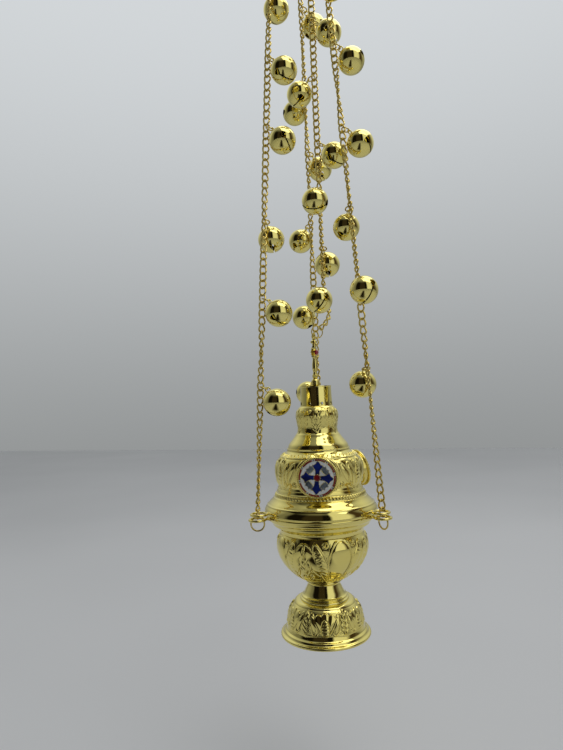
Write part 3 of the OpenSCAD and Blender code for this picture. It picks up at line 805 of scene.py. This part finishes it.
# for each chain its azimuth, and for each bell its link, its side and how far its slit is turned
BELLS = {
    "left": (AZ_LEFT, [[17, 1, 30], [29, 1, 70], [40, -1, 20], [53, 1, 110], [63, 1, 60], [74, -1, 150]]),
    "right": (AZ_RIGHT, [[19, 1, 80], [31, -1, 25], [41, 1, 140], [52, 1, 95], [64, 1, 130], [73, -1, 45]]),
    "back": (AZ_BACK, [[18, 1, 60], [30, 1, 10], [42, 1, 120], [53, -1, 35], [62, 1, 75], [75, -1, 160]]),
    "lid": (AZ_LID, [[0, -1, 50], [6, 1, 15], [14, -1, 100], [21, -1, 65], [31, 1, 135], [39, -1, 85]]),
}


def line_r(z):
    """How far out an outer chain is at height z."""
    return LUG_R - LEAN * (z - LUG_Z)


def facing(k):
    """The solid link k's facing, in degrees from its chain's azimuth."""
    return 45 + 90 * (k % 2)


def turns(count, keys):
    """The facing of each link. It drifts along the chain, and is the solid link's wherever a ring hangs."""
    out = [keys[0]]
    for k, a in keys[1:]:
        d = (a - out[-1][1] + 90) % 180 - 90
        if abs(d) > 85 and len(out) % 2:
            d = -d
        if abs(d) < 20 and k - out[-1][0] > 9:
            d += 180 if len(out) % 2 else -180
            if abs(d) / (k - out[-1][0]) > 15:
                d -= math.copysign(180, d)
        out.append((k, out[-1][1] + d))
    ks, vs = zip(*out)
    return np.interp(np.arange(count), ks, vs)


def curb_link():
    t = np.arange(28) * TAU / 28
    return tube(np.stack([LINK_A * np.cos(t), LINK_D * np.sin(2 * t), LINK_B * np.sin(t)], 1), WIRE, 9)


def plain_link():
    """A flat oval link, for the end of a chain that a ring turns in."""
    t = (np.arange(16) + 0.5) * math.pi / 16
    top = np.stack([END_A * np.cos(t), 0 * t, END_B - END_A + END_A * np.sin(t)], 1)
    return tube(np.concatenate([top, top * [-1, 1, -1]]), END_WIRE, 12)


CURB = curb_link()


def chain_piece(key, body, places, last=CURB):
    """A chain in place of its CAD node, with a link at each (azimuth, radius, height, lean, facing)."""
    parts = []
    for i, (az, r, z, lean_deg, face) in enumerate(places):
        v, f = last if i == len(places) - 1 else CURB
        v = turn(turn(v, face), 0, lean_deg)
        parts.append((turn(v + [r, 0, 0], az) + [0, 0, z], f))
    node = "lid_chain" if key == "lid" else "chain_" + key
    build("curb_chain_" + key, *join(parts), body, M_CHAIN, "chain_brass", [node])


for key in ("left", "right", "back"):
    az, bells = BELLS[key]
    face = turns(LINKS, [(k, facing(k)) for k in (0, *(bell[0] for bell in bells), LINKS - 1)])
    heights = [FIRST_Z + k * STEP_Z for k in range(LINKS)]
    chain_piece(key, "suspension", [(az, line_r(z), z, -SLOPE, a) for z, a in zip(heights, face)])

places, r, z = [], BOW_R, BOW_Z
for a in BOW:
    s, c = math.sin(math.radians(a)), math.cos(math.radians(a))
    places.append((AZ_LID, r + PITCH / 2 * s, z + PITCH / 2 * c, a))
    r, z = r + PITCH * s, z + PITCH * c
places += [(AZ_LID, LINE_R, LINE_Z + k * PITCH, 0) for k in range(LID_LINKS)]
keys = [(len(BOW) + k, facing(k)) for k in (*(bell[0] for bell in BELLS["lid"][1]), LID_LINKS - 1)]
face = turns(len(places), [(0, facing(0))] + keys)
chain_piece("lid", "lid", [(*place, a) for place, a in zip(places, face)], plain_link())


# -------- split rings

JUMP_R, JUMP_W, DROOP = 3.1, 0.55, 20.0


def side_az(az, k, s):
    """Azimuth of the side of link k that a bell hangs on."""
    return az + facing(k) + (180 if s < 0 else 0)


def chain_point(key, k):
    """The middle of link k."""
    az = BELLS[key][0]
    if key == "lid":
        return polar(LINE_R, az, LINE_Z + k * PITCH)
    z = FIRST_Z + k * STEP_Z
    return polar(line_r(z), az, z)


for key, (az, bells) in BELLS.items():
    parts = []
    for k, s, t in bells:
        path = circle_path(JUMP_R, 40, gap=0.10, start=math.radians(70 if k % 2 else 290))
        v, f = tube(path, JUMP_W, 10, closed=False)
        parts.append((turn(v + [JUMP_R, 0, 0], side_az(az, k, s), DROOP, chain_point(key, k)), f))
    build("split_rings_" + key, *join(parts), "lid" if key == "lid" else "suspension", M_CHAIN, "chain_brass",
          ["bell_rings_" + key])


def ring_piece(node, body, R, w, rings):
    """Split rings on edge in place of a CAD node: where each is, its plane's azimuth and its gap's place."""
    parts = []
    for at, face_az, gap_at in rings:
        v, f = tube(circle_path(R, 56, gap=0.07, start=math.radians(gap_at)), w, 12, closed=False)
        parts.append((turn(v @ STAND_UP.T, face_az, shift=at), f))
    build(node + "_split", *join(parts), body, M_CHAIN, "chain_brass", [node])


END_RING_R, END_RING_W, END_RING_Z = 5.35, 0.65, 94.738
CAP_RING_R, CAP_RING_W = 3.2, 0.55
CHAIN_TOP = FIRST_Z + (LINKS - 1) * STEP_Z + END_B * math.cos(math.radians(SLOPE))
CAP_RING_Z = CHAIN_TOP - 2 * CAP_RING_W + CAP_RING_R
LID_RING_R, LID_RING_W = 5.1, 0.45

ring_piece("end_rings", "suspension", END_RING_R, END_RING_W, [
    (polar(LUG_R, az, END_RING_Z), face_az, gap_at)
    for az, face_az, gap_at in ((AZ_LEFT, 0, 200), (AZ_RIGHT, 125, 320), (AZ_BACK, 25, 250))])
ring_piece("lid_ring", "lid", LID_RING_R, LID_RING_W, [(polar(3.5, AZ_LID, 246.7), AZ_LID, 300)])
ring_piece("cap_links", "suspension", CAP_RING_R, CAP_RING_W, [
    (polar(line_r(CAP_RING_Z - 3), az, CAP_RING_Z), az, 200) for az in LUG_AZ])


# -------- bells

BELL_R, BELL_WALL, SLIT, PELLET_R = 11.0, 0.7, 1.1, 2.6
HOLE_R, HOLE_TILT, HOLE_SIDES = 2.5, 105, 30
ARM_LEN, STAND_OFF = BELL_R + 2.35, BELL_R + 3.2                    # from the jump ring to the ball's middle
SIDE_REACH, SIDE_DROP = (2 * JUMP_R * f(math.radians(DROOP)) for f in (math.cos, math.sin))


def mesh_from(bm, name):
    me = bpy.data.meshes.new(name)
    bm.to_mesh(me)
    bm.free()
    return me


def hollow_ball():
    bm = bmesh.new()
    for r, inward in ((BELL_R, False), (BELL_R - BELL_WALL, True)):
        ball = bmesh.new()
        bmesh.ops.create_uvsphere(ball, u_segments=72, v_segments=48, radius=r * MM)
        if inward:
            bmesh.ops.reverse_faces(ball, faces=ball.faces)
        me = mesh_from(ball, "ball")
        bm.from_mesh(me)
        bpy.data.meshes.remove(me)
    return mesh_from(bm, "bell_shell")


def slit_cutter():
    length, height = BELL_R * 1.88, BELL_R - 1.5
    bm = bmesh.new()
    corners = bmesh.ops.create_cube(bm, size=1.0)["verts"]
    bmesh.ops.scale(bm, vec=(length * MM, SLIT * MM, height * MM), verts=corners)
    bmesh.ops.translate(bm, vec=(0, 0, (-BELL_R - 1 + height / 2) * MM), verts=corners)
    return mesh_from(bm, "slit")


def hole_cutter():
    """A rounded three-cornered prism through each end of the slit."""
    bm = bmesh.new()
    for s in (-1, 1):
        tilt = Matrix.Rotation(math.radians(HOLE_TILT * s), 4, "Y")
        rows = []
        for h in (BELL_R - 3.5, BELL_R + 1.5):
            row = []
            for k in range(HOLE_SIDES):
                a = TAU * k / HOLE_SIDES
                r = HOLE_R * (1 + 0.13 * math.cos(3 * a + (0 if s > 0 else math.pi)))
                row.append(bm.verts.new(tilt @ Vector((r * math.cos(a), r * math.sin(a), h)) * MM))
            rows.append(row)
        low, high = rows
        for k in range(HOLE_SIDES):
            after = (k + 1) % HOLE_SIDES
            bm.faces.new((low[k], low[after], high[after], high[k]))
        bm.faces.new(low[::-1])
        bm.faces.new(high)
    bmesh.ops.recalc_face_normals(bm, faces=bm.faces)
    return mesh_from(bm, "holes")


def cut(shell, cutters):
    o = bpy.data.objects.new("bell_tmp", shell)
    bpy.context.scene.collection.objects.link(o)
    knives = [bpy.data.objects.new("cut_tmp", me) for me in cutters]
    for knife in knives:
        bpy.context.scene.collection.objects.link(knife)
        mod = o.modifiers.new("cut", "BOOLEAN")
        mod.operation, mod.solver, mod.object = "DIFFERENCE", "EXACT", knife
    me = bpy.data.meshes.new_from_object(o.evaluated_get(bpy.context.evaluated_depsgraph_get()))
    for x in [o] + knives:
        bpy.data.objects.remove(x)
    return me


def point_values(me, key):
    v = np.empty(len(me.vertices) * 3, np.float32)
    me.vertices.foreach_get(key, v)
    return v.reshape(-1, 3)


def bell_normals(me):
    """True ball normals on both faces of the wall, smooth ones on loop and collar, flat ones on the cuts."""
    co, vn = point_values(me, "co") / MM, point_values(me, "normal")
    normals = np.empty((len(me.loops), 3), np.float32)
    for p in me.polygons:
        ids = list(p.vertices)
        c = co[ids]
        rad = np.linalg.norm(c, axis=1)
        mid = c.mean(0)
        side = float(np.dot(mid / max(np.linalg.norm(mid), 1e-9), p.normal))
        corners = list(range(p.loop_start, p.loop_start + p.loop_total))
        if rad.max() < BELL_R + 0.02 and rad.min() > BELL_R - BELL_WALL - 0.03 and abs(side) > 0.9:
            normals[corners] = math.copysign(1, side) * c / np.maximum(rad, 1e-9)[:, None]
        elif rad.min() > BELL_R - 0.8 and rad.max() > BELL_R + 0.02:
            normals[corners] = vn[ids]
        else:
            normals[corners] = p.normal
    return [tuple(n) for n in normals]


def bell_mesh():
    """A hollow ball with a slit below, a hole at each end of it, and a loop on a small collar on top."""
    bm = bmesh.new()
    bm.from_mesh(cut(hollow_ball(), (slit_cutter(), hole_cutter())))
    loop_v, loop_f = tube(circle_path(1.9, 36), 0.5, 10)
    collar = [[3.0, -0.62], [2.6, -0.12], [1.9, 0.12], [1.2, 0.35], [0.7, 0.5], [0.02, 0.55]]
    for v, f in ((loop_v @ STAND_UP.T + [0, 0, BELL_R + 1.6], loop_f),
                 spun([[r, BELL_R + h] for r, h in collar], 28)):
        vs = [bm.verts.new(p) for p in (v * MM)]
        for q in f:
            bm.faces.new([vs[i] for i in q])
    me = mesh_from(bm, "crotal_bell")
    me.polygons.foreach_set("use_smooth", np.ones(len(me.polygons), bool))
    me.normals_split_custom_set(bell_normals(me))
    me.materials.append(M_BELL)
    return me


def pellet_mesh():
    v, f = blob((0, 0, 0), PELLET_R, 1.0, 24, 14)
    me = bpy.data.meshes.new("pellet")
    me.from_pydata((v * MM).tolist(), [], f.tolist())
    me.polygons.foreach_set("use_smooth", np.ones(len(me.polygons), bool))
    me.materials.append(M_SCREW)
    return me


BELL, PELLET = bell_mesh(), pellet_mesh()


def place(name, me, at):
    o = bpy.data.objects.new(name, me)
    bpy.context.scene.collection.objects.link(o)
    o.matrix_world = Matrix.Translation(at)
    return o


def hang_bell(name, key, k, s, slit_turn):
    """A bell that leans on its chain from the jump ring in link k, with its pellet at its lowest point."""
    az = BELLS[key][0]
    side = side_az(az, k, s)
    lean = 0.0 if key == "lid" else LEAN
    reach = STAND_OFF - SIDE_REACH + lean * 12.3 * math.cos(math.radians(side - az))
    fall = math.sqrt(ARM_LEN ** 2 - reach ** 2)
    middle = chain_point(key, k) + polar(SIDE_REACH + reach, side, -SIDE_DROP - fall)
    at = Vector(middle) * MM + Vector((0, 0, BASE))
    to_side, lean_out, slit = (Matrix.Rotation(a, 4, axis) for a, axis in (
        (math.radians(side), "Z"), (-math.asin(reach / ARM_LEN), "Y"), (math.radians(slit_turn), "Z")))
    shell = BELL.copy()
    shell.transform(to_side @ lean_out @ slit)
    settle(place(name + "_shell", shell, at), name, "bell_brass", [name])
    drop = BELL_R - BELL_WALL - PELLET_R - 0.1
    settle(place(name + "_pellet", PELLET, at - Vector((0, 0, drop * MM))), name, "screw_steel")


for key, (az, bells) in BELLS.items():
    for i, (k, s, t) in enumerate(bells):
        hang_bell("bell_%s_%d" % (key, i + 1), key, k, s, t)


# -------- CAD nodes that stay, with their finishes

def finish_node(name, mat):
    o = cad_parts[name]
    if not o.material_slots:
        o.data.materials.append(mat)
    for s in o.material_slots:
        s.material = mat


for nm in ("hanging_ring", "cap_eye", "finial", "pull_ring"):
    finish_node(nm, M_CAST)
for nm in ("cap", "guide_bush", "chimney"):
    finish_node(nm, M_PLAIN)
for nm in ("cap_eye_nut", "finial_nut", "assembly_nut", "assembly_bolt"):
    finish_node(nm, M_SCREW)
finish_node("inner_cup", M_CUP)
finish_node("finial_gem", M_GEM)


# -------- camera

SENSOR, LENS = 36.0, 27.024
CAM_DIST, CAM_H, CAM_AZ = 469.4, 193.8, 2.7
CAM_YAW, CAM_PITCH, CAM_ROLL = 3.42, 2.2, -2.31


def make_camera():
    """A camera CAM_DIST from the axis, turned to the left by its yaw and up by its pitch, then rolled."""
    data = bpy.data.cameras.new("camera")
    data.sensor_width = SENSOR
    data.lens = LENS
    data.clip_start = 0.01
    o = bpy.data.objects.new("camera", data)
    bpy.context.scene.collection.objects.link(o)
    a, y, p, q = (math.radians(v) for v in (270 + CAM_AZ, CAM_YAW, CAM_PITCH, CAM_ROLL))
    at = Vector((CAM_DIST * MM * math.cos(a), CAM_DIST * MM * math.sin(a), BASE + CAM_H * MM))
    ahead = Vector((-math.cos(a), -math.sin(a), 0))
    right = Vector((ahead.y, -ahead.x, 0))
    above = Vector((0, 0, 1))
    ahead, right = ahead * math.cos(y) - right * math.sin(y), right * math.cos(y) + ahead * math.sin(y)
    ahead, above = ahead * math.cos(p) + above * math.sin(p), above * math.cos(p) - ahead * math.sin(p)
    right, above = right * math.cos(q) + above * math.sin(q), above * math.cos(q) - right * math.sin(q)
    m = Matrix((right, above, -ahead)).transposed().to_4x4()
    m.translation = at
    o.matrix_world = m
    bpy.context.scene.camera = o


make_camera()


# -------- floor and soft studio light

def stage_material():
    """Pale and matt, with a slow drift of tone."""
    m, nt, b = new_material("studio_floor")
    nt.links.new(drift(nt, 1.3, 2.0, (0.66, 0.665, 0.675), (0.72, 0.725, 0.735)), b.inputs["Base Color"])
    b.inputs["Roughness"].default_value = 0.9
    b.inputs["Specular IOR Level"].default_value = 0.1
    return m


FLOOR_DROP = 130.0
FLOOR_REACH = 12.0
FLOOR_EDGE = ((-FLOOR_REACH, 5.95), (FLOOR_REACH, -0.17))     # in metres, as the rest of the studio is


def make_floor():
    """A pale floor below the foot that ends behind the censer."""
    (x0, y0), (x1, y1) = FLOOR_EDGE
    verts = [(x0, y0, 0), (x1, y1, 0), (x1, -FLOOR_REACH, 0), (x0, -FLOOR_REACH, 0)]
    fm = bpy.data.meshes.new("floor")
    fm.from_pydata(verts, [], [(3, 2, 1, 0)])
    fm.materials.append(stage_material())
    floor = bpy.data.objects.new("floor", fm)
    floor.location.z = BASE - FLOOR_DROP * MM
    bpy.context.scene.collection.objects.link(floor)


make_floor()


WALL, CEILING = (0.27, 0.28, 0.28), (0.66, 0.69, 0.71)
SIDE, DIM, DARK = (0.17, 0.175, 0.175), (0.028, 0.022, 0.016), (0.006, 0.005, 0.004)
WINDOW, BROWN = (0.74, 0.76, 0.74), (0.05, 0.034, 0.020)
# what stands round the censer, in degrees to the right of straight in front of it
ROUND = [(-180, WALL), (-112, SIDE), (-78, SIDE), (-66, DARK), (-38, DARK), (-31, DIM), (4, DIM), (7, DARK),
         (20, DARK), (26, WINDOW), (60, WINDOW), (74, BROWN), (103, BROWN), (116, SIDE), (180, WALL)]


def make_world():
    """A grey room: a wall that is lighter towards its top, one broad window, and dark flags in front."""
    w = bpy.data.worlds.new("studio")
    bpy.context.scene.world = w
    w.use_nodes = True
    nt = w.node_tree
    tc = nt.nodes.new("ShaderNodeTexCoord")
    sep = nt.nodes.new("ShaderNodeSeparateXYZ")
    nt.links.new(tc.outputs["Generated"], sep.inputs[0])
    x, y, z = sep.outputs
    ang = math_node(nt, "ARCTAN2", x, math_node(nt, "MULTIPLY", y, -1.0))
    pos = math_node(nt, "ADD", math_node(nt, "DIVIDE", ang, TAU), 0.5)
    band = ramp(nt, pos, [(d / 360 + 0.5, c) for d, c in ROUND])
    el = math_node(nt, "ARCSINE", z)

    def rise(a, b):
        n = nt.nodes.new("ShaderNodeMapRange")
        n.interpolation_type = "SMOOTHSTEP"
        n.inputs["From Min"].default_value = math.radians(a)
        n.inputs["From Max"].default_value = math.radians(b)
        nt.links.new(el, n.inputs["Value"])
        return n.outputs["Result"]
    # the backdrop itself is the plain wall all round; only polished surfaces see the window and the flags
    seen = nt.nodes.new("ShaderNodeLightPath").outputs["Is Camera Ray"]
    band = mix_colour(nt, seen, band, WALL)
    far = math_node(nt, "ADD", math_node(nt, "MULTIPLY", y, 1.6), 0.1, clamp=True)
    far = math_node(nt, "MAXIMUM", far, seen)
    low, high = math_node(nt, "MULTIPLY", rise(-14, 42), far), math_node(nt, "MULTIPLY", rise(44, 74), 0.40)
    bg = nt.nodes["Background"]
    nt.links.new(mix_colour(nt, math_node(nt, "MAXIMUM", low, high), band, CEILING), bg.inputs["Color"])
    bg.inputs["Strength"].default_value = 1.0


make_world()


def area(name, loc, target, w, h, power):
    """A soft rectangular light, w by h metres, that faces target."""
    d = bpy.data.lights.new(name, "AREA")
    d.shape = "RECTANGLE"
    d.size, d.size_y, d.energy = w, h, power
    o = bpy.data.objects.new(name, d)
    bpy.context.scene.collection.objects.link(o)
    o.location = loc
    o.rotation_euler = (Vector(target) - Vector(loc)).to_track_quat("-Z", "Y").to_euler()


SHADE_LOW, SHADE_HIGH = (0.012, 0.010, 0.008), (0.060, 0.045, 0.034)
SHADE_SOFTNESS = (3.2, 9.0)


def shade(name, lo, hi, z):
    """A dark card with soft edges, lying in front of the censer, that only its polished surfaces see."""
    m, nt, b = new_material(name + "_cloth")
    m.use_transparent_shadow = True
    n = noise(nt, 6.0, 2.0)
    tc = nt.nodes.new("ShaderNodeTexCoord")
    sep = nt.nodes.new("ShaderNodeSeparateXYZ")
    nt.links.new(tc.outputs["Generated"], sep.inputs[0])
    edge = None
    for g, soft in zip(sep.outputs, SHADE_SOFTNESS):
        near = math_node(nt, "MINIMUM", g, math_node(nt, "SUBTRACT", 1.0, g))
        near = math_node(nt, "MULTIPLY", near, soft, clamp=True)
        edge = near if edge is None else math_node(nt, "MULTIPLY", edge, near)
    nt.links.new(edge, b.inputs["Alpha"])
    nt.links.new(ramp(nt, n.outputs["Fac"], [(0.40, SHADE_LOW), (0.60, SHADE_HIGH)]), b.inputs["Base Color"])
    b.inputs["Roughness"].default_value = 1.0
    b.inputs["Specular IOR Level"].default_value = 0.0
    me = bpy.data.meshes.new(name)
    (x0, y0), (x1, y1) = lo, hi
    me.from_pydata([(x0, y0, 0), (x1, y0, 0), (x1, y1, 0), (x0, y1, 0)], [], [(0, 1, 2, 3)])
    me.materials.append(m)
    o = bpy.data.objects.new(name, me)
    o.location.z = z
    bpy.context.scene.collection.objects.link(o)
    o.visible_camera = o.visible_diffuse = o.visible_shadow = o.visible_transmission = False


shade("shade_low", (-0.30, -1.5), (0.11, -0.05), BASE - (FLOOR_DROP - 2) * MM)
area("soft_top", (0.45, 0.10, BASE + 1.7), (0, 0, BASE), 1.8, 1.4, 11)
bpy.context.scene.view_settings.view_transform = "Standard"
